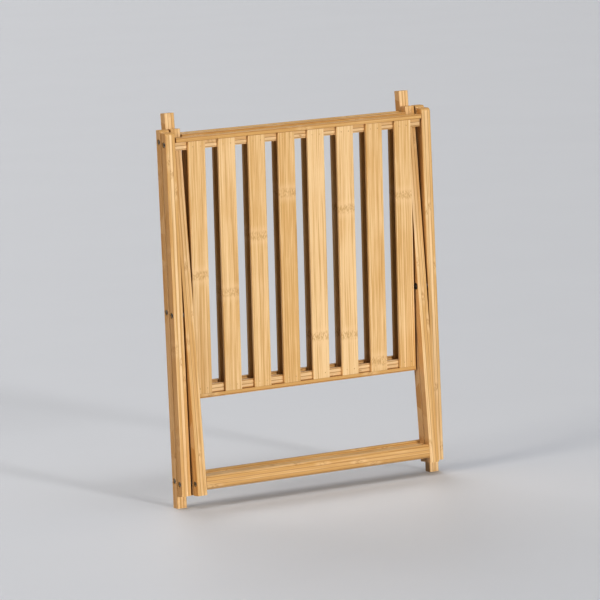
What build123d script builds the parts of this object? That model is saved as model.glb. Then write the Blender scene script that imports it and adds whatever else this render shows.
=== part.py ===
"""Two-tier folding scissor shelf in bamboo, folded flat with its outer legs upright.

Frame: +X to the right across the shelf, +Z up along the folded legs, -Y towards the
side that carries the upper deck.  The origin is the middle of the bounding box's base.
Unfolding turns every leg about axes parallel to X and stretches the stack along Y, so in
use -Y is up and the long ends of the lower legs are the four feet.
"""
from build123d import *
from math import asin, cos, degrees, radians, sin
import os

# ---- legs: section and drilling ------------------------------------------------------
LEG_WIDTH = 15.0            # along X
LEG_THICKNESS = 12.5        # front to back
LEG_EDGE_RADIUS = 1.0
LEG_NOSE_RADIUS = 5.0       # rounded front corner at a pivoted top end
OUTER_HALF = 236.0          # outer leg, pivot to middle pivot
TIER_DROP = 3.5             # how much longer an inner leg's pivot-to-pivot half is
LEG_SHORT_END = 16.5        # wood beyond a pivot at an end without a foot
FOOT_REACH = 38.0           # wood beyond the foot bar's screw
OVERALL_WIDTH = 430.0       # outer face to outer face
LEG_GAP = 2.0               # between an outer and an inner leg, side by side
FOLD_GAP = 1.8              # between two legs that fold one in front of the other

# ---- decks ---------------------------------------------------------------------------
SLAT_COUNT = 8
SLAT_WIDTH = 26.5
SLAT_THICKNESS = 5.0
SLAT_EDGE_RADIUS = 0.8
DECK_SIDE_GAP = 2.5         # deck side to inner leg
DECK_REACH = 356.5          # hinge axis to the far edge of the end rail
DECK_HANG = 1.8             # degrees that a folded deck swings back from upright
RAIL_HEIGHT = 17.5
BOLT_COVER = 0.5            # wood between the slats' rebate and a hinge bolt
RAIL_LIP = 6.0              # raised outer strip that covers the slats' end grain
RAIL_EDGE_RADIUS = 1.0
RAIL_TOE_RADIUS = 4.0       # rounded lower outer edge that rides up on the cross bar
RAIL_END_GAP = 1.1          # hinge rail's end to the leg beside it
SLAT_END_GAP = 0.15         # slat's end to the rail's lip

# ---- cross bars ----------------------------------------------------------------------
BAR_HEIGHT = 20.0
BAR_ROUNDING = 0.48         # edge radius, of the bar's thickness

# ---- bolts, screws, washers and nuts -------------------------------------------------
BOLT_DIAMETER = 4.0
BOLT_HEAD_DIAMETER = 7.4
BOLT_HEAD_HEIGHT = 2.6
HEAD_RECESS_DIAMETER = 8.0
HEAD_RECESS_DEPTH = 4.0
HEX_ACROSS = 3.0            # socket's width across flats
HEX_DEPTH = 1.6
BOLT_GRIP = 24.0            # depth of its hole in a rail or a bar
TIP_GAP = 0.5               # tip to the bottom of that hole
HEAD_FLOAT = 0.15           # head's underside to the floor of its recess
RUNNING_CLEARANCE = 0.08    # radial, leg on its bolt
LOOSE_CLEARANCE = 0.30      # radial, where the linkage's loop closes
SEAT_CLEARANCE = 0.03       # radial, bolt in the wood that holds it
NUT_DIAMETER = 9.0
NUT_THICKNESS = 4.0
NUT_RECESS_CLEARANCE = 0.4
WASHER_DIAMETER = 11.0
WASHER_THICKNESS = 1.6
BRAD_DIAMETER = 1.6
BRAD_LENGTH = 8.0
BRAD_INSET = 7.5            # slat's end to the brad's axis
BRAD_SET = 0.4              # depth of a brad's head below the slat's face
BRAD_SPACING = 0.45         # of the slat's width, between its two brads

# ---- worked out ----------------------------------------------------------------------
INNER_HALF = OUTER_HALF + TIER_DROP             # inner leg, pivot to middle pivot
RAIL_THICKNESS = LEG_THICKNESS                  # rails and bars are planed as thick as the legs
BAR_THICKNESS = LEG_THICKNESS
BAR_EDGE_RADIUS = BAR_ROUNDING * BAR_THICKNESS
HINGE_DEPTH = SLAT_THICKNESS + BOLT_COVER + BOLT_DIAMETER / 2   # rail's face to the hinge axis
LAYER_PITCH = LEG_THICKNESS + FOLD_GAP
FOLD_ANGLE = degrees(asin(LAYER_PITCH / INNER_HALF))
OUTER_X = OVERALL_WIDTH / 2 - LEG_WIDTH / 2
INNER_X = OUTER_X - LEG_WIDTH - LEG_GAP
INNER_FACE_X = INNER_X - LEG_WIDTH / 2
OUTER_FACE_X = OUTER_X - LEG_WIDTH / 2
DECK_WIDTH = 2 * (INNER_FACE_X - DECK_SIDE_GAP)
SLAT_PITCH = (DECK_WIDTH - SLAT_WIDTH) / (SLAT_COUNT - 1)
SIDES = {"left": -1, "right": 1}


def lean(run):
    """(y, z) travelled along an inner leg, upwards when run is positive."""
    angle = radians(FOLD_ANGLE)
    return run * sin(angle), run * cos(angle)


# Pivots as (y, z), first with the lower outer legs in the plane y = 0.
INNER_RUN_Y, INNER_RUN_Z = lean(INNER_HALF)
HALF_DEPTH = lean(LEG_THICKNESS / 2)[1]
BACK_Y = lean(OUTER_HALF + FOOT_REACH)[0] + HALF_DEPTH
FRONT_Y = -INNER_RUN_Y - lean(OUTER_HALF + LEG_SHORT_END)[0] - HALF_DEPTH
SHIFT_Y = -(BACK_Y + FRONT_Y) / 2

LOWER_FOOT = (SHIFT_Y, FOOT_REACH)
LOWER_MIDDLE = (SHIFT_Y, FOOT_REACH + OUTER_HALF)
LOWER_DECK_HINGE = (SHIFT_Y, FOOT_REACH + 2 * OUTER_HALF)
UPPER_MIDDLE = (SHIFT_Y - INNER_RUN_Y, LOWER_DECK_HINGE[1] - INNER_RUN_Z)
UPPER_DECK_HINGE = (UPPER_MIDDLE[0], UPPER_MIDDLE[1] + OUTER_HALF)
TIER_PIVOT = (UPPER_MIDDLE[0], UPPER_MIDDLE[1] - OUTER_HALF)
BACK_FOOT = (LOWER_MIDDLE[0] + lean(OUTER_HALF)[0], LOWER_MIDDLE[1] + lean(OUTER_HALF)[1])
FRONT_FOOT = (UPPER_MIDDLE[0] - lean(OUTER_HALF)[0], UPPER_MIDDLE[1] - lean(OUTER_HALF)[1])


def placed(shape, pivot, angle=0.0, x=0.0):
    """Shape drawn about a pivot at its local origin, turned about X and set in place."""
    return Location((x, pivot[0], pivot[1]), (angle, 0, 0)) * shape


def rod(diameter, x0, x1, y=0.0, z=0.0):
    """Cylinder along X from x0 to x1."""
    centre = Location(((x0 + x1) / 2, y, z), (0, 90, 0))
    return centre * Cylinder(diameter / 2, abs(x1 - x0))


def rounded_bar(x_size, y_size, z_size, radius, axis):
    """Box with its four edges along one axis rounded."""
    block = Box(x_size, y_size, z_size)
    return fillet(block.edges().filter_by(axis), radius)


def slat_span():
    """Heights of a slat's top and bottom ends in the deck's own frame."""
    top = RAIL_HEIGHT / 2 - RAIL_LIP - SLAT_END_GAP
    return top, RAIL_LIP + SLAT_END_GAP - DECK_REACH


def leg(below, above, side, recesses, bores, nose=False, nut_at=None):
    """Upright leg about its middle pivot.

    recesses: heights of the bolt heads let into the outward face.
    bores: height and radial clearance of every bolt hole.
    nut_at: height of a nut let into the inward face.
    """
    wood = Location((0, 0, (above - below) / 2)) * Box(LEG_WIDTH, LEG_THICKNESS, below + above)
    if nose:
        top_front = wood.edges().filter_by(Axis.X).group_by(Axis.Z)[-1].sort_by(Axis.Y)[0]
        wood = fillet(top_front, LEG_NOSE_RADIUS)
    wood = fillet(wood.edges().filter_by(Axis.Z), LEG_EDGE_RADIUS)
    reach = LEG_WIDTH / 2
    for height, clearance in bores:
        wood -= rod(BOLT_DIAMETER + 2 * clearance, -reach, reach, z=height)
    for height in recesses:
        floor = side * (reach - HEAD_RECESS_DEPTH)
        wood -= rod(HEAD_RECESS_DIAMETER, floor, side * reach, z=height)
    if nut_at is not None:
        floor = -side * (reach - NUT_THICKNESS)
        wood -= rod(NUT_DIAMETER + 2 * NUT_RECESS_CLEARANCE, floor, -side * reach, z=nut_at)
    return wood


def drill_ends(wood, half_length):
    """Bore both ends of a bar or rail for the bolts that it holds."""
    for side in SIDES.values():
        wood -= rod(BOLT_DIAMETER + 2 * SEAT_CLEARANCE,
                    side * (half_length - BOLT_GRIP), side * half_length)
    return wood


def bar(half_length):
    """Cross bar along X with rounded long edges."""
    wood = rounded_bar(2 * half_length, BAR_THICKNESS, BAR_HEIGHT, BAR_EDGE_RADIUS, Axis.X)
    return drill_ends(wood, half_length)


def bolt(outer_x, held_x, side):
    """Socket-head bolt along X: outer_x is the recessed face, held_x its tip."""
    seat = outer_x - HEAD_RECESS_DEPTH + HEAD_FLOAT
    top = seat + BOLT_HEAD_HEIGHT
    steel = rod(BOLT_DIAMETER, side * held_x, side * seat)
    steel += rod(BOLT_HEAD_DIAMETER, side * seat, side * top)
    socket = extrude(RegularPolygon(HEX_ACROSS / 2, 6, major_radius=False), HEX_DEPTH)
    return steel - Location((side * top, 0, 0), (0, -90 * side, 0)) * socket


def washer(side):
    """Flat washer in the middle of the gap between an inner and an outer leg."""
    middle = OUTER_FACE_X - LEG_GAP / 2
    x0 = side * (middle - WASHER_THICKNESS / 2)
    x1 = side * (middle + WASHER_THICKNESS / 2)
    return rod(WASHER_DIAMETER, x0, x1) - rod(BOLT_DIAMETER + 2 * LOOSE_CLEARANCE, x0, x1)


def nut(side):
    """Round nut let into the inward face of an inner leg."""
    x0 = side * INNER_FACE_X
    x1 = side * (INNER_FACE_X + NUT_THICKNESS - NUT_RECESS_CLEARANCE)
    return rod(NUT_DIAMETER, x0, x1) - rod(BOLT_DIAMETER + 2 * SEAT_CLEARANCE, x0, x1)


def rail(half_length, toe_radius):
    """Deck rail with its lip on top and the rebate for the slats in its front face."""
    middle = Location((RAIL_THICKNESS / 2 - HINGE_DEPTH, 0))
    outline = middle * Rectangle(RAIL_THICKNESS, RAIL_HEIGHT)
    square = outline.vertices().sort_by(lambda corner: corner.X + corner.Y)[:-1]
    outline = fillet(square, RAIL_EDGE_RADIUS)
    toe = outline.vertices().sort_by(lambda corner: corner.X + corner.Y)[-1]
    outline = fillet(toe, toe_radius)
    ledge = RAIL_HEIGHT - RAIL_LIP
    rebate = Location((SLAT_THICKNESS / 2 - HINGE_DEPTH, -RAIL_LIP / 2))
    outline -= rebate * Rectangle(SLAT_THICKNESS, ledge)
    return extrude(Plane.YZ * outline, half_length, both=True)


def slat(x):
    """One slat, from ledge to ledge, in the deck's own frame."""
    top, bottom = slat_span()
    wood = rounded_bar(SLAT_WIDTH, SLAT_THICKNESS, top - bottom, SLAT_EDGE_RADIUS, Axis.Z)
    return Location((x, SLAT_THICKNESS / 2 - HINGE_DEPTH, (top + bottom) / 2)) * wood


def along_y(diameter, x, y0, y1, z):
    """Cylinder along Y from y0 to y1."""
    centre = Location((x, (y0 + y1) / 2, z), (90, 0, 0))
    return centre * Cylinder(diameter / 2, y1 - y0)


def brad_places(x):
    """(x, z) of the four brads that hold the slat at x."""
    top, bottom = slat_span()
    across = SLAT_WIDTH * BRAD_SPACING / 2
    return [(x + side * across, z) for side in SIDES.values()
            for z in (top - BRAD_INSET, bottom + BRAD_INSET)]


def brads(x):
    """The four brads of the slat at x, their heads just below its face."""
    head = BRAD_SET - HINGE_DEPTH
    return [along_y(BRAD_DIAMETER, px, head, head + BRAD_LENGTH, pz) for px, pz in brad_places(x)]


def brad_holes(x):
    """What those brads take out of the slat and the rails."""
    bore = BRAD_DIAMETER + 2 * SEAT_CLEARANCE
    tip = BRAD_SET - HINGE_DEPTH + BRAD_LENGTH
    return [along_y(bore, px, -HINGE_DEPTH, tip, pz) for px, pz in brad_places(x)]


def both_sides(make):
    """One group of separate solids, made for the left and for the right side."""
    return Compound(children=[make(side) for side in SIDES.values()])


def deck(name, pivot, hinge_half_length):
    """Nodes of one deck, hung from its hinge axis and swung back by its rest angle."""
    slat_x = [SLAT_PITCH * i - (DECK_WIDTH - SLAT_WIDTH) / 2 for i in range(SLAT_COUNT)]
    hinge = drill_ends(rail(hinge_half_length, RAIL_EDGE_RADIUS), hinge_half_length)
    end = rail(DECK_WIDTH / 2, RAIL_TOE_RADIUS)
    end = Location((0, 0, RAIL_HEIGHT / 2 - DECK_REACH), (0, 180, 0)) * end
    pieces = {}
    pins = []
    for number, x in enumerate(slat_x, start=1):
        holes = brad_holes(x)
        hinge -= holes
        end -= holes
        pieces[f"{name}_slat_{number}"] = slat(x) - holes
        pins += brads(x)
    pieces[f"{name}_hinge_rail"] = hinge
    pieces[f"{name}_end_rail"] = end
    pieces[f"{name}_brads"] = Compound(children=pins)
    return {node: placed(shape, pivot, DECK_HANG) for node, shape in pieces.items()}


def leg_pair(name, pivot, angle, x, **drilling):
    """A left and a right leg, each its own node."""
    return {f"{name}_leg_{word}": placed(leg(side=side, **drilling), pivot, angle, side * x)
            for word, side in SIDES.items()}


def legs():
    """The four pairs of legs."""
    half_foot = OUTER_HALF + FOOT_REACH
    half_short = OUTER_HALF + LEG_SHORT_END
    inner_short = INNER_HALF + LEG_SHORT_END
    nodes = leg_pair("lower_outer", LOWER_MIDDLE, 0, OUTER_X, below=half_foot, above=half_short,
                     recesses=(OUTER_HALF, 0, -OUTER_HALF), nose=True,
                     bores=((OUTER_HALF, RUNNING_CLEARANCE), (0, SEAT_CLEARANCE),
                            (-OUTER_HALF, SEAT_CLEARANCE)))
    nodes |= leg_pair("lower_inner", LOWER_MIDDLE, -FOLD_ANGLE, INNER_X, below=inner_short,
                      above=half_foot, recesses=(OUTER_HALF,), nut_at=0,
                      bores=((OUTER_HALF, SEAT_CLEARANCE), (0, RUNNING_CLEARANCE),
                             (-INNER_HALF, SEAT_CLEARANCE)))
    nodes |= leg_pair("upper_inner", UPPER_MIDDLE, -FOLD_ANGLE, INNER_X, below=half_short,
                      above=inner_short, recesses=(-OUTER_HALF,), nut_at=0,
                      bores=((INNER_HALF, RUNNING_CLEARANCE), (0, RUNNING_CLEARANCE),
                             (-OUTER_HALF, SEAT_CLEARANCE)))
    nodes |= leg_pair("upper_outer", UPPER_MIDDLE, 0, OUTER_X, below=half_short, above=half_short,
                      recesses=(OUTER_HALF, 0, -OUTER_HALF), nose=True,
                      bores=((OUTER_HALF, RUNNING_CLEARANCE), (0, SEAT_CLEARANCE),
                             (-OUTER_HALF, LOOSE_CLEARANCE)))
    return nodes


def bars():
    """The four cross bars, each turned with the legs that hold it."""
    return {
        "lower_outer_foot_bar": placed(bar(OUTER_FACE_X), LOWER_FOOT),
        "lower_inner_foot_bar": placed(bar(INNER_FACE_X), BACK_FOOT, -FOLD_ANGLE),
        "lower_rest_bar": placed(bar(INNER_FACE_X), TIER_PIVOT, -FOLD_ANGLE),
        "upper_rest_bar": placed(bar(INNER_FACE_X), FRONT_FOOT, -FOLD_ANGLE),
    }


def fasteners():
    """Pivot bolts, bar screws, washers and nuts, one node for each set of equal pieces."""
    outer_face = OUTER_X + LEG_WIDTH / 2
    inner_face = INNER_X + LEG_WIDTH / 2
    in_bar = INNER_FACE_X - BOLT_GRIP + TIP_GAP
    in_foot_bar = OUTER_FACE_X - BOLT_GRIP + TIP_GAP
    in_lower_rail = in_bar - RAIL_END_GAP
    in_upper_rail = in_foot_bar - RAIL_END_GAP
    in_nut = INNER_FACE_X + TIP_GAP
    sets = {
        "lower_deck_pivot_bolts": (outer_face, in_lower_rail, LOWER_DECK_HINGE, DECK_HANG),
        "upper_deck_pivot_bolts": (outer_face, in_upper_rail, UPPER_DECK_HINGE, DECK_HANG),
        "lower_scissor_bolts": (outer_face, in_nut, LOWER_MIDDLE, 0),
        "upper_scissor_bolts": (outer_face, in_nut, UPPER_MIDDLE, 0),
        "tier_pivot_bolts": (outer_face, in_bar, TIER_PIVOT, -FOLD_ANGLE),
        "lower_outer_foot_screws": (outer_face, in_foot_bar, LOWER_FOOT, 0),
        "lower_inner_foot_screws": (inner_face, in_bar, BACK_FOOT, -FOLD_ANGLE),
        "upper_rest_bar_screws": (inner_face, in_bar, FRONT_FOOT, -FOLD_ANGLE),
    }
    nodes = {name: placed(both_sides(lambda side: bolt(head, tip, side)), pivot, angle)
             for name, (head, tip, pivot, angle) in sets.items()}
    nodes["lower_scissor_nuts"] = placed(both_sides(nut), LOWER_MIDDLE)
    nodes["upper_scissor_nuts"] = placed(both_sides(nut), UPPER_MIDDLE)
    nodes["lower_hinge_washers"] = placed(both_sides(washer), LOWER_DECK_HINGE)
    nodes["lower_scissor_washers"] = placed(both_sides(washer), LOWER_MIDDLE)
    nodes["upper_scissor_washers"] = placed(both_sides(washer), UPPER_MIDDLE)
    nodes["tier_pivot_washers"] = placed(both_sides(washer), TIER_PIVOT)
    return nodes


nodes = deck("lower_deck", LOWER_DECK_HINGE, INNER_FACE_X - RAIL_END_GAP)
nodes |= deck("upper_deck", UPPER_DECK_HINGE, OUTER_FACE_X - RAIL_END_GAP)
nodes |= legs()
nodes |= bars()
nodes |= fasteners()

os.makedirs("parts", exist_ok=True)
for name, shape in nodes.items():
    export_step(shape, f"parts/{name}.step")
print(len(nodes), "nodes")
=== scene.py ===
"""Looks for the folded bamboo scissor shelf: camera, floor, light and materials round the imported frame."""

import math

import bpy
from mathutils import Matrix, Vector


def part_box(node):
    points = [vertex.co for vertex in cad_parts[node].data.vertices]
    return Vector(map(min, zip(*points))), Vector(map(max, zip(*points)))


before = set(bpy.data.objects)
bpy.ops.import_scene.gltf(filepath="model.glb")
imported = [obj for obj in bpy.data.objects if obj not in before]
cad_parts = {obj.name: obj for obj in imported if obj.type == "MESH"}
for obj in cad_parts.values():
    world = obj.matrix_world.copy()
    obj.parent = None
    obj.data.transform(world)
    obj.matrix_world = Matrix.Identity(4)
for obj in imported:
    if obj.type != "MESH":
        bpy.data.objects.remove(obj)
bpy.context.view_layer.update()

MM = 0.001

# ---- camera: seen from the shelf's left, a little above it -----------------------------
CAMERA_TURN = 30.64         # degrees round from straight in front
CAMERA_DROP = 7.58          # degrees that it looks down
CAMERA_ROLL = -2.46         # degrees, clockwise if negative
CAMERA_LENS = 274.0         # millimetres
CAMERA_DISTANCE = 6.401     # metres
AIM_LEVEL_WITH = "lower_scissor_bolts"
AIM_SIDEWAYS = -3.35 * MM   # off the shelf's middle, in the picture
AIM_UPWARDS = -4.24 * MM

# ---- light ---------------------------------------------------------------------------
# each lamp: degrees to the right of straight in front, degrees up, strength, softness, colour
LAMPS = {
    "key": (5.0, 9.0, 1.52, 7.0, (1.0, 0.985, 0.96)),
    "fill": (-80.0, 16.0, 1.22, 22.0, (1.0, 0.93, 0.80)),
    "top": (0.0, 84.0, 0.98, 50.0, (1.0, 0.985, 0.97)),
    "back": (168.0, 32.0, 0.50, 35.0, (0.97, 0.98, 1.0)),
}
SKY_COLOUR = (0.94, 0.96, 1.0)
SKY_STRENGTH = 0.06
FLOOR_COLOUR = (0.70, 0.72, 0.765)
FLOOR_MOTTLE = (3.0, 4.0, 0.3, 0.7, 0.99)   # scale, noise detail, lower and upper edge, how dark
FLOOR_ROUGHNESS = 0.6
FLOOR_SIZE = 60.0           # metres

# ---- colours of bamboo ---------------------------------------------------------------
PALE = (0.790, 0.575, 0.335)
WARM = (0.600, 0.368, 0.145)
DEEP = (0.330, 0.150, 0.045)
AMBER = (0.400, 0.205, 0.060)
END_GRAIN = (0.560, 0.350, 0.150)
LEG_WARMTH = 0.42           # from pale at 0 to warm at 1
RAIL_WARMTH = 0.80
BAR_WARMTH = 0.85
REAR_SLAT_PAINTED_SHADE = 0.35          # painted shade: how much ruddier and darker the lower deck's slats are coloured, for the shade they stand in behind the upper deck
SLAT_WARMTH = {1: 0.46, 2: 0.38, 3: 0.48, 4: 0.60, 5: 0.26, 6: 0.24, 7: 0.44, 8: 0.66}
WARMTH_ENDS = (-0.05, 1.05)     # where the colour stops changing
STRIP_SWING = 0.85          # how much two glued strips differ
SLAT_SWING = 0.20
LIP_EDGE = (2.0 * MM, 2.8 * MM)     # from a rail's middle to the foot of its lip
PAINTED_LEDGE_LIGHT_AND_LIP_TONE = (-0.45, 0.15)          # below that edge paler, painted light on the ledge; on the lip the rail's own warmer tone

# ---- grain of bamboo -----------------------------------------------------------------
NOISE_DETAIL = 2.0
NOISE_ROUGHNESS = 0.55
STRIP_WIDTH = 5.0 * MM      # glued strips
LEG_STRIPS = 3              # across a leg, the middle one centred
STRIP_SWAY = 1.0 * MM       # how far a strip's edge wanders
SWAY_SCALE = 7.0            # waves in a metre
# each kind of streak: its width, its run along the grain, noise detail and roughness
STREAKS = {
    "broad": (4.2 * MM, 260 * MM, NOISE_DETAIL, NOISE_ROUGHNESS),
    "middle": (1.5 * MM, 150 * MM, NOISE_DETAIL, NOISE_ROUGHNESS),
    "fine": (0.75 * MM, 60 * MM, 4.0, 0.65),
    "hair": (0.3 * MM, 22 * MM, NOISE_DETAIL, NOISE_ROUGHNESS),
    "drift": (60 * MM, 120 * MM, NOISE_DETAIL, NOISE_ROUGHNESS),
}
STREAK_SWING = {"broad": 0.8, "middle": 1.8, "fine": 1.9, "drift": 0.9}
STRIP_SHIFT = 7.0           # how far apart two strips take their streaks, at most
HAIR_SHARE = 0.5            # of the hair streaks in the dark fibres
DARK_FIBRE_EDGE = (0.80, 1.02)
DARK_FIBRE_DEPTH = 0.30
GLUE_EDGE = (0.05, 0.16)    # half the glue line's width, in strips
GLUE_DEPTH = 0.48
RAIL_GLUE_DEPTH = 0.70
BUNDLE_SCALE = 1500.0       # fibre bundles in the end grain
BUNDLE_EDGE = (0.18, 0.42)
BUNDLE_DEPTH = 0.55
END_FACING = (0.30, 0.75)   # how squarely a surface faces the grain's end

# ---- joints of the cane --------------------------------------------------------------
KNUCKLE_SPACING = 260 * MM  # along a strip
KNUCKLE_SEED = 31.0         # keeps these draws apart from the strips' tones
# share of the way down each slat
SLAT_KNUCKLES = {1: (0.53,), 2: (0.61,), 3: (0.40,), 4: (0.24,), 5: (0.83,), 6: (0.33, 0.84),
                 7: (0.96,), 8: (0.30,)}
NO_KNUCKLE = 1.0            # metres, further than any mark reaches
RAGGED = (2.6 * MM, 30 * MM)        # width and height of the waves in a knuckle's edge
RAGGED_REACH = 7 * MM
DASH = (1.1 * MM, 4 * MM)           # width and height of its dashes
DASH_EDGE = (0.42, 0.60)
KNUCKLE_BAND = (2.5 * MM, 8.5 * MM)
KNUCKLE_HALO = (6 * MM, 18 * MM)
HALO_DEPTH = 0.40
STRIP_MARK_DEPTH = 0.55
SLAT_MARK_DEPTH = 0.52

# ---- surface of bamboo ---------------------------------------------------------------
ROUGHNESS = 0.32
FINE_ROUGHNESS = 0.24
END_ROUGHNESS = 0.20
LACQUER = 0.16              # coat on legs, rails and slats
BAR_LACQUER = 0.70
LACQUER_ROUGHNESS = 0.26
SPECULAR = 0.36
RELIEF = {"fine": 0.6, "hair": 0.25, "marks": 0.4, "glue": -0.5}
BUMP_STRENGTH = 0.35
BUMP_HEIGHT = 0.18 * MM

# ---- metal and filler: colour, roughness and how metallic ----------------------------
BOLT_STEEL = ((0.55, 0.54, 0.52), 0.44, 1.0)
WASHER_STEEL = ((0.20, 0.195, 0.19), 0.52, 1.0)
BRAD_FILLER = ((0.66, 0.44, 0.22), 0.60, 0.0)
BLOTCH = (420.0, 3.0, 0.35, 0.65, 0.6)  # as FLOOR_MOTTLE
SCRATCH = (2600.0, 4.0, 0.7)            # scale, noise detail and roughness
SCRATCH_ROUGHNESS = 0.3
SCRATCH_STRENGTH = 0.3
SCRATCH_HEIGHT = 0.05 * MM


def middle(node):
    """Middle of a CAD node's box."""
    low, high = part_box(node)
    return (low + high) / 2


def camera_axes():
    """Right, up and forward of the camera in the shelf's frame."""
    turn, drop, roll = (math.radians(a) for a in (CAMERA_TURN, CAMERA_DROP, CAMERA_ROLL))
    forward = Vector((math.sin(turn) * math.cos(drop),
                      math.cos(turn) * math.cos(drop),
                      -math.sin(drop)))
    level = Vector((math.cos(turn), -math.sin(turn), 0))
    upright = level.cross(forward)
    right = math.cos(roll) * level + math.sin(roll) * upright
    up = math.cos(roll) * upright - math.sin(roll) * level
    return right, up, forward


def add_camera():
    data = bpy.data.cameras.new("camera")
    data.lens = CAMERA_LENS
    data.clip_end = 2 * FLOOR_SIZE
    camera = bpy.data.objects.new("camera", data)
    bpy.context.scene.collection.objects.link(camera)
    right, up, forward = camera_axes()
    level = Vector((0, 0, middle(AIM_LEVEL_WITH).z))
    aim = level + AIM_SIDEWAYS * right + AIM_UPWARDS * up
    turn = Matrix((right, up, -forward)).transposed().to_4x4()
    camera.matrix_world = Matrix.Translation(aim - CAMERA_DISTANCE * forward) @ turn
    bpy.context.scene.camera = camera


class Graph:
    """Short ways to add and join the nodes of one material."""

    def __init__(self, name):
        self.material = bpy.data.materials.new(name)
        self.material.use_nodes = True
        self.nodes = self.material.node_tree.nodes
        self.links = self.material.node_tree.links
        self.shader = self.nodes["Principled BSDF"]

    def add(self, kind, **settings):
        made = self.nodes.new("ShaderNode" + kind)
        for name, value in settings.items():
            setattr(made, name, value)
        return made

    def feed(self, socket, value):
        if isinstance(value, bpy.types.NodeSocket):
            self.links.new(value, socket)
        else:
            socket.default_value = value

    def math(self, operation, first, second=0.0):
        made = self.add("Math", operation=operation)
        self.feed(made.inputs[0], first)
        self.feed(made.inputs[1], second)
        return made.outputs[0]

    def between(self, value, low, high, low_to=0.0, high_to=1.0):
        """Value taken smoothly from low..high to low_to..high_to."""
        made = self.add("MapRange", interpolation_type="SMOOTHSTEP")
        for name, number in zip(("Value", "From Min", "From Max", "To Min", "To Max"),
                                (value, low, high, low_to, high_to)):
            self.feed(made.inputs[name], number)
        return made.outputs["Result"]

    def mix(self, factor, first, second):
        """First colour where factor is 0, second where it is 1."""
        made = self.add("Mix", data_type="RGBA")
        self.feed(made.inputs["Factor"], factor)
        for name, value in (("A", first), ("B", second)):
            socket = [s for s in made.inputs if s.name == name and s.type == "RGBA"][0]
            self.feed(socket, value if isinstance(value, bpy.types.NodeSocket) else (*value, 1.0))
        return [s for s in made.outputs if s.type == "RGBA"][0]

    def join(self, x, y, z):
        made = self.add("CombineXYZ")
        for socket, value in zip(made.inputs, (x, y, z)):
            self.feed(socket, value)
        return made.outputs[0]

    def noise(self, vector, scale, detail=NOISE_DETAIL, rough=NOISE_ROUGHNESS):
        made = self.add("TexNoise")
        self.feed(made.inputs["Vector"], vector)
        self.feed(made.inputs["Scale"], scale)
        self.feed(made.inputs["Detail"], detail)
        self.feed(made.inputs["Roughness"], rough)
        return made.outputs["Fac"]

    def random(self, value, seed):
        """A number from 0 to 1 for each whole value."""
        made = self.add("TexWhiteNoise", noise_dimensions="2D")
        self.feed(made.inputs["Vector"], self.join(value, seed, 0.0))
        return made.outputs["Value"]

    def times(self, value, factor):
        return self.math("MULTIPLY", value, factor)

    def plus(self, value, more):
        return self.math("ADD", value, more)

    def swing(self, value, amount):
        """Value from 0 to 1 turned into one about zero, amount wide."""
        return self.times(self.math("SUBTRACT", value, 0.5), amount)

    def tint(self, colour, towards, mask, depth):
        """Colour moved towards another by depth, where the mask is 1."""
        return self.mix(self.times(mask, depth), colour, towards)

    def bump(self, height, strength, distance):
        made = self.add("Bump")
        made.inputs["Strength"].default_value = strength
        made.inputs["Distance"].default_value = distance
        self.feed(made.inputs["Height"], height)
        self.feed(self.shader.inputs["Normal"], made.outputs["Normal"])


def piece_axes(graph, node, lean, along):
    """Coordinates in metres from the piece's middle: across its face, through it, along its grain."""
    place = graph.add("TexCoord")
    local = graph.add("Mapping", vector_type="TEXTURE")
    graph.feed(local.inputs["Vector"], place.outputs["Object"])
    local.inputs["Location"].default_value = middle(node)
    local.inputs["Rotation"].default_value = (lean, 0, 0)
    facing = graph.add("Mapping", vector_type="TEXTURE")
    graph.feed(facing.inputs["Vector"], place.outputs["Normal"])
    facing.inputs["Rotation"].default_value = (lean, 0, 0)
    parts = graph.add("SeparateXYZ")
    graph.feed(parts.inputs[0], local.outputs[0])
    facing_parts = graph.add("SeparateXYZ")
    graph.feed(facing_parts.inputs[0], facing.outputs[0])
    x, y, z = parts.outputs
    if along == "X":
        return (z, y, x), facing_parts.outputs["X"]
    return (x, y, z), facing_parts.outputs["Z"]


class Grain:
    """Coordinates in one piece, and the noise drawn out along its grain."""

    def __init__(self, graph, axes):
        self.graph = graph
        self.across, self.through, self.length = axes
        wobble = graph.noise(graph.join(*axes), SWAY_SCALE)
        self.side = graph.plus(self.across, graph.swing(wobble, STRIP_SWAY))

    def stretched(self, width, run, start, detail=NOISE_DETAIL, rough=NOISE_ROUGHNESS):
        """Noise about width wide and run long."""
        graph = self.graph
        place = graph.join(graph.math("DIVIDE", self.side, width),
                           graph.math("DIVIDE", self.through, width),
                           graph.math("DIVIDE", start, run))
        return graph.noise(place, 1.0, detail, rough)

    def strips(self):
        """Which glued strip a point is in, and how far inside it."""
        graph = self.graph
        count = graph.plus(graph.math("DIVIDE", self.side, STRIP_WIDTH), LEG_STRIPS / 2)
        return graph.math("FLOOR", count), graph.math("FRACT", count)

    def streaks(self, tone):
        """Streaks of every kind, each strip with its own."""
        start = self.graph.plus(self.length, self.graph.times(tone, STRIP_SHIFT))
        return {kind: self.stretched(width, run, start, detail, rough)
                for kind, (width, run, detail, rough) in STREAKS.items()}


def base_colour(grain, streak, tone, tone_swing, lip, warmth):
    """From pale to warm with the streaks, and darker in the darkest fibres."""
    graph = grain.graph
    amount = warmth
    for kind, amplitude in STREAK_SWING.items():
        amount = graph.plus(graph.swing(streak[kind], amplitude), amount)
    amount = graph.plus(amount, graph.swing(tone, tone_swing))
    # a rail's ledge below its lip is painted paler, painted light; the lip keeps a warmer own tone
    if lip:
        outward = graph.times(grain.across, float(lip))
        amount = graph.plus(amount, graph.between(outward, *LIP_EDGE, *PAINTED_LEDGE_LIGHT_AND_LIP_TONE))
    colour = graph.mix(graph.between(amount, *WARMTH_ENDS), PALE, WARM)
    fibre = graph.plus(streak["middle"], graph.times(streak["hair"], HAIR_SHARE))
    return graph.tint(colour, DEEP, graph.between(fibre, *DARK_FIBRE_EDGE), DARK_FIBRE_DEPTH)


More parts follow.
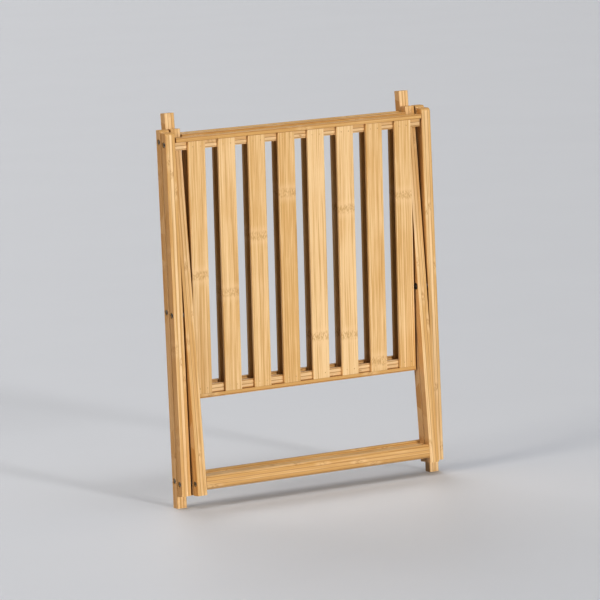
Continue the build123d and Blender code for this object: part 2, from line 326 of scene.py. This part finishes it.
def strip_knuckle(grain, shift):
    """Distance along a strip to its nearest joint of the cane."""
    graph = grain.graph
    turn = graph.plus(graph.math("DIVIDE", grain.length, KNUCKLE_SPACING), shift)
    return graph.math("ABSOLUTE", graph.swing(graph.math("FRACT", turn), KNUCKLE_SPACING))


def slat_knuckle(grain, node):
    """Distance along a slat to the nearest of its own joints of the cane."""
    graph = grain.graph
    low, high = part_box(node)
    away = NO_KNUCKLE
    for share in SLAT_KNUCKLES[int(node[-1])]:
        height = (0.5 - share) * (high.z - low.z)
        gap = graph.math("ABSOLUTE", graph.math("SUBTRACT", grain.length, height))
        away = graph.math("MINIMUM", gap, away)
    return away


def knuckle_marks(grain, away):
    """A hazy band of short wavy dashes, and the paler halo round it."""
    graph = grain.graph
    ragged = grain.stretched(*RAGGED, grain.length)
    away = graph.plus(away, graph.swing(ragged, RAGGED_REACH))
    dash = grain.stretched(*DASH, grain.length)
    halo = graph.between(away, *KNUCKLE_HALO, 1.0, 0.0)
    band = graph.between(away, *KNUCKLE_BAND, 1.0, 0.0)
    return graph.times(band, graph.between(dash, *DASH_EDGE)), halo


def end_colour(grain):
    """End grain: darker, dotted with fibre bundles."""
    graph = grain.graph
    dots = graph.add("TexVoronoi", feature="F1")
    graph.feed(dots.inputs["Vector"], graph.join(grain.across, grain.through, 0.0))
    graph.feed(dots.inputs["Scale"], BUNDLE_SCALE)
    bundle = graph.between(dots.outputs["Distance"], *BUNDLE_EDGE, 1.0, 0.0)
    return graph.tint(END_GRAIN, DEEP, bundle, BUNDLE_DEPTH)


def bamboo(node, seed, warmth, lean=0.0, along="Z", lip=0, lacquer=LACQUER):
    """Lacquered bamboo for one piece, its grain along the piece.

    A slat is one strip, and any other piece is glued from several.
    lip: 1 for a rail with its lip on top, -1 for one with its lip below.
    """
    graph = Graph("bamboo_" + node)
    axes, end_facing = piece_axes(graph, node, lean, along)
    grain = Grain(graph, axes)
    slat = "_slat_" in node
    if slat:
        index = seed
    else:
        index, inside = grain.strips()
    tone = graph.random(index, float(seed))
    streak = grain.streaks(tone)
    colour = base_colour(grain, streak, tone, SLAT_SWING if slat else STRIP_SWING, lip, warmth)

    if slat:
        away = slat_knuckle(grain, node)
    else:
        away = strip_knuckle(grain, graph.random(index, seed + KNUCKLE_SEED))
    marks, halo = knuckle_marks(grain, away)
    colour = graph.tint(colour, PALE, halo, HALO_DEPTH)
    colour = graph.tint(colour, AMBER, marks, SLAT_MARK_DEPTH if slat else STRIP_MARK_DEPTH)

    glue = 0.0
    if not slat:
        edge = graph.math("MINIMUM", inside, graph.math("SUBTRACT", 1.0, inside))
        glue = graph.between(edge, *GLUE_EDGE, 1.0, 0.0)
        colour = graph.tint(colour, DEEP, glue, RAIL_GLUE_DEPTH if lip else GLUE_DEPTH)

    at_end = graph.between(graph.math("ABSOLUTE", end_facing), *END_FACING)
    colour = graph.mix(at_end, colour, end_colour(grain))
    graph.feed(graph.shader.inputs["Base Color"], colour)

    rough = graph.plus(graph.times(streak["fine"], FINE_ROUGHNESS), graph.times(at_end, END_ROUGHNESS))
    graph.feed(graph.shader.inputs["Roughness"], graph.plus(rough, ROUGHNESS))
    graph.shader.inputs["Coat Weight"].default_value = lacquer
    graph.shader.inputs["Coat Roughness"].default_value = LACQUER_ROUGHNESS
    graph.shader.inputs["Specular IOR Level"].default_value = SPECULAR

    relief = 0.0
    for part, height in {**streak, "marks": marks, "glue": glue}.items():
        if part in RELIEF:
            relief = graph.plus(graph.times(height, RELIEF[part]), relief)
    graph.bump(relief, BUMP_STRENGTH, BUMP_HEIGHT)
    return graph.material


def patchy(graph, place, colour, pattern):
    """Colour that is darker in soft patches."""
    scale, detail, low, high, dark = pattern
    patches = graph.between(graph.noise(place, scale, detail), low, high)
    return graph.mix(patches, colour, tuple(dark * c for c in colour))


def metal(name, base, rough, metallic):
    """Plated steel, or the filler over a brad, lightly blotched and scratched."""
    graph = Graph(name)
    place = graph.add("TexCoord").outputs["Object"]
    scratch = graph.noise(place, *SCRATCH)
    graph.feed(graph.shader.inputs["Base Color"], patchy(graph, place, base, BLOTCH))
    graph.feed(graph.shader.inputs["Roughness"], graph.plus(rough, graph.swing(scratch, SCRATCH_ROUGHNESS)))
    graph.shader.inputs["Metallic"].default_value = metallic
    graph.bump(scratch, SCRATCH_STRENGTH, SCRATCH_HEIGHT)
    return graph.material


def dress(node, material):
    """Gives a CAD node its one material."""
    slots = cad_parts[node].data.materials
    slots.clear()
    slots.append(material)


def lean_between(lower, upper):
    """Angle about X, from upright, of the line from one node's middle to another's."""
    run = middle(upper) - middle(lower)
    return -math.atan2(run.y, run.z)


def slat_look(node, seed):
    """A slat's material: it leans with its deck and has its own warmth; the lower deck's slats also get
    painted shade.
    """
    deck = node.rsplit("_slat", 1)[0]
    lean = lean_between(deck + "_end_rail", deck + "_hinge_rail")
    warmth = SLAT_WARMTH[int(node[-1])]
    # painted shade on the lower deck's slats: a ruddier, darker colour
    if deck == "lower_deck":
        warmth += REAR_SLAT_PAINTED_SHADE
    return bamboo(node, seed, warmth, lean)


def dress_all():
    """A material for every CAD node."""
    leg_lean = lean_between("tier_pivot_bolts", "lower_scissor_bolts")
    bolts = metal("zinc_steel", *BOLT_STEEL)
    washers = metal("dull_steel", *WASHER_STEEL)
    filler = metal("brad_filler", *BRAD_FILLER)
    for seed, node in enumerate(sorted(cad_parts), start=1):
        if "_slat_" in node:
            look = slat_look(node, seed)
        elif "_leg_" in node:
            look = bamboo(node, seed, LEG_WARMTH, leg_lean if "inner" in node else 0.0)
        elif node.endswith("_rail"):
            lip = 1 if "hinge" in node else -1
            look = bamboo(node, seed, RAIL_WARMTH, along="X", lip=lip)
        elif node.endswith("_bar"):
            look = bamboo(node, seed, BAR_WARMTH, along="X", lacquer=BAR_LACQUER)
        elif node.endswith(("_washers", "_nuts")):
            look = washers
        elif node.endswith("_brads"):
            look = filler
        else:
            look = bolts
        dress(node, look)


def add_floor():
    """A pale floor under the feet, faintly mottled."""
    mesh = bpy.data.meshes.new("floor")
    reach = FLOOR_SIZE / 2
    corners = [(-reach, -reach, 0), (reach, -reach, 0), (reach, reach, 0), (-reach, reach, 0)]
    mesh.from_pydata(corners, [], [(0, 1, 2, 3)])
    floor = bpy.data.objects.new("floor", mesh)
    bpy.context.scene.collection.objects.link(floor)
    graph = Graph("pale_floor")
    place = graph.add("TexCoord").outputs["Object"]
    graph.feed(graph.shader.inputs["Base Color"], patchy(graph, place, FLOOR_COLOUR, FLOOR_MOTTLE))
    graph.shader.inputs["Roughness"].default_value = FLOOR_ROUGHNESS
    floor.data.materials.append(graph.material)


def add_light():
    """A low frontal key, a warm fill from the left, soft top and back lights and a dim even sky."""
    for name, (side, rise, strength, softness, colour) in LAMPS.items():
        data = bpy.data.lights.new(name, "SUN")
        data.energy = strength
        data.angle = math.radians(softness)
        data.color = colour
        lamp = bpy.data.objects.new(name, data)
        bpy.context.scene.collection.objects.link(lamp)
        turn, height = math.radians(side), math.radians(rise)
        towards = Vector((math.sin(turn) * math.cos(height), -math.cos(turn) * math.cos(height),
                          math.sin(height)))
        lamp.rotation_euler = towards.to_track_quat("Z", "Y").to_euler()
    world = bpy.data.worlds.new("studio")
    bpy.context.scene.world = world
    world.use_nodes = True
    sky = world.node_tree.nodes["Background"]
    sky.inputs["Color"].default_value = (*SKY_COLOUR, 1.0)
    sky.inputs["Strength"].default_value = SKY_STRENGTH


bpy.context.scene.view_settings.view_transform = "Standard"
bpy.context.scene.view_settings.look = "High Contrast"
add_camera()
add_light()
add_floor()
dress_all()
